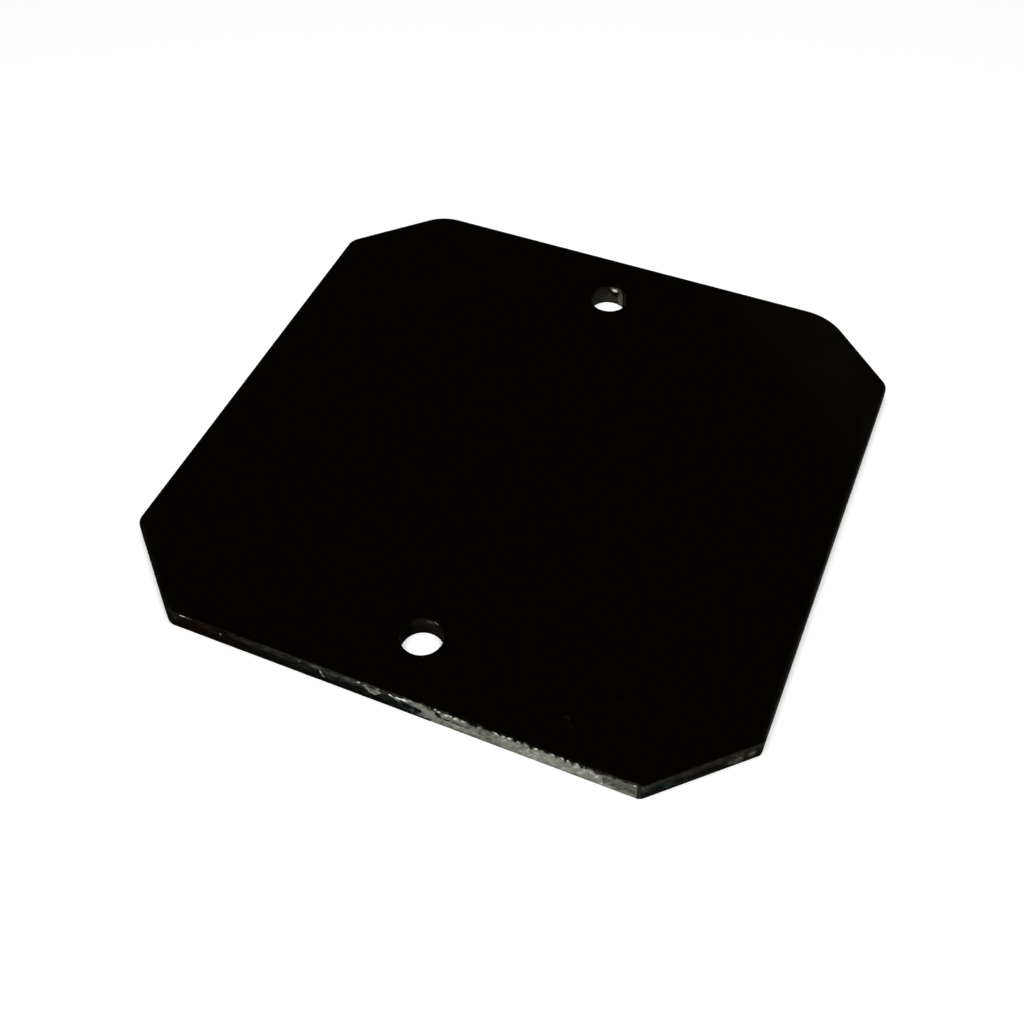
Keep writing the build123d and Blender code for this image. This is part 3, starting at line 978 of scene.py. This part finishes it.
def seen_rays(tree):
    """1 for the rays that show the background: those of the camera, of gloss and of glass."""
    path = node(tree, "LightPath").outputs
    camera, gloss, glass = path["Is Camera Ray"], path["Is Glossy Ray"], path["Is Transmission Ray"]
    seen = node(tree, "Math", {0: camera, 1: gloss}, operation="MAXIMUM").outputs[0]
    return node(tree, "Math", {0: seen, 1: glass}, operation="MAXIMUM").outputs[0]


def studio_floor():
    """Plain white floor under the plate, with a small glow for the rays that show it."""
    half = FLOOR_SIZE / 2
    mesh = bpy.data.meshes.new("studio_floor")
    corners = [(-half, -half, 0), (half, -half, 0), (half, half, 0), (-half, half, 0)]
    mesh.from_pydata(corners, [], [(0, 1, 2, 3)])
    floor = bpy.data.objects.new("studio_floor", mesh)
    bpy.context.scene.collection.objects.link(floor)
    material, tree, shader = new_material("pale_studio_paper")
    shader.inputs["Base Color"].default_value = linear(FLOOR_COLOUR)
    shader.inputs["Roughness"].default_value = FLOOR_ROUGHNESS
    shader.inputs["Specular IOR Level"].default_value = 0.0
    shader.inputs["Emission Color"].default_value = linear(FLOOR_COLOUR)
    glow = node(tree, "Math", {0: seen_rays(tree)}, operation="MULTIPLY")
    glow.inputs[1].default_value = FLOOR_GLOW
    tree.links.new(glow.outputs[0], shader.inputs["Emission Strength"])
    mesh.materials.append(material)


def soft_lamp(name, place, size, power):
    """Square soft lamp that faces the plate."""
    data = bpy.data.lights.new(name, "AREA")
    data.shape = "SQUARE"
    data.size = size
    data.energy = power
    lamp = bpy.data.objects.new(name, data)
    lamp.location = place
    lamp.rotation_mode = "QUATERNION"
    lamp.rotation_quaternion = Vector(place).to_track_quat("Z", "Y")
    bpy.context.scene.collection.objects.link(lamp)


def studio_light():
    """One large soft lamp, overhead and in front of the plate, in a dim room.

    The world is white low down and dim above for the rays that show it, and dim as light.
    """
    world = bpy.data.worlds.new("dim_room")
    bpy.context.scene.world = world
    world.use_nodes = True
    tree = world.node_tree
    tree.nodes.clear()
    direction = node(tree, "TexCoord").outputs["Generated"]
    up = node(tree, "SeparateXYZ", {"Vector": direction}).outputs["Z"]
    backdrop = remapped(tree, up, (1.0, ROOM_DIM), BACKDROP_EDGE)
    level = node(tree, "Mix", {0: seen_rays(tree), 3: backdrop}, A=ROOM_DIM)
    back = node(tree, "Background", {"Strength": level.outputs[0]}, Color=(1, 1, 1, 1))
    out = node(tree, "OutputWorld")
    tree.links.new(back.outputs[0], out.inputs[0])
    soft_lamp("overhead", LAMP_PLACE, LAMP_SIZE, LAMP_POWER)


# Camera, fitted to the photograph's outline and hole rims
CAMERA_PLACE = (55.34, -141.46, 169.26)
CAMERA_AIM = (-12.18, -2.83, 3.6)
CAMERA_ROLL = 2.336
CAMERA_LENS = 50.868
CAMERA_SHIFT = (0.0645, -0.0703)
CAMERA_SENSOR = 36.0
CAMERA_RANGE = (0.01, 50.0)     # metres in front of the camera that are drawn


def photo_camera():
    """The photograph's camera: aimed at a point of the top face and rolled a little."""
    place, aim = np.array(CAMERA_PLACE), np.array(CAMERA_AIM)
    ahead = (aim - place) / np.linalg.norm(aim - place)
    level = np.cross(ahead, (0, 0, 1))
    level /= np.linalg.norm(level)
    upright = np.cross(level, ahead)
    roll = math.radians(CAMERA_ROLL)
    right = level * math.cos(roll) - upright * math.sin(roll)
    up = np.cross(right, ahead)
    data = bpy.data.cameras.new("photo_camera")
    data.lens = CAMERA_LENS
    data.sensor_width = CAMERA_SENSOR
    data.shift_x, data.shift_y = CAMERA_SHIFT
    data.clip_start, data.clip_end = CAMERA_RANGE
    camera = bpy.data.objects.new("photo_camera", data)
    turn = Matrix(np.column_stack([right, up, -ahead]).tolist()).to_4x4()
    camera.matrix_world = Matrix.Translation(Vector((place * MM).tolist())) @ turn
    bpy.context.scene.collection.objects.link(camera)
    bpy.context.scene.camera = camera


photo_camera()
studio_floor()
studio_light()
plate = make_plate()
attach(plate, "root")
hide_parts("cover_plate")

bpy.context.scene.view_settings.view_transform = "Standard"
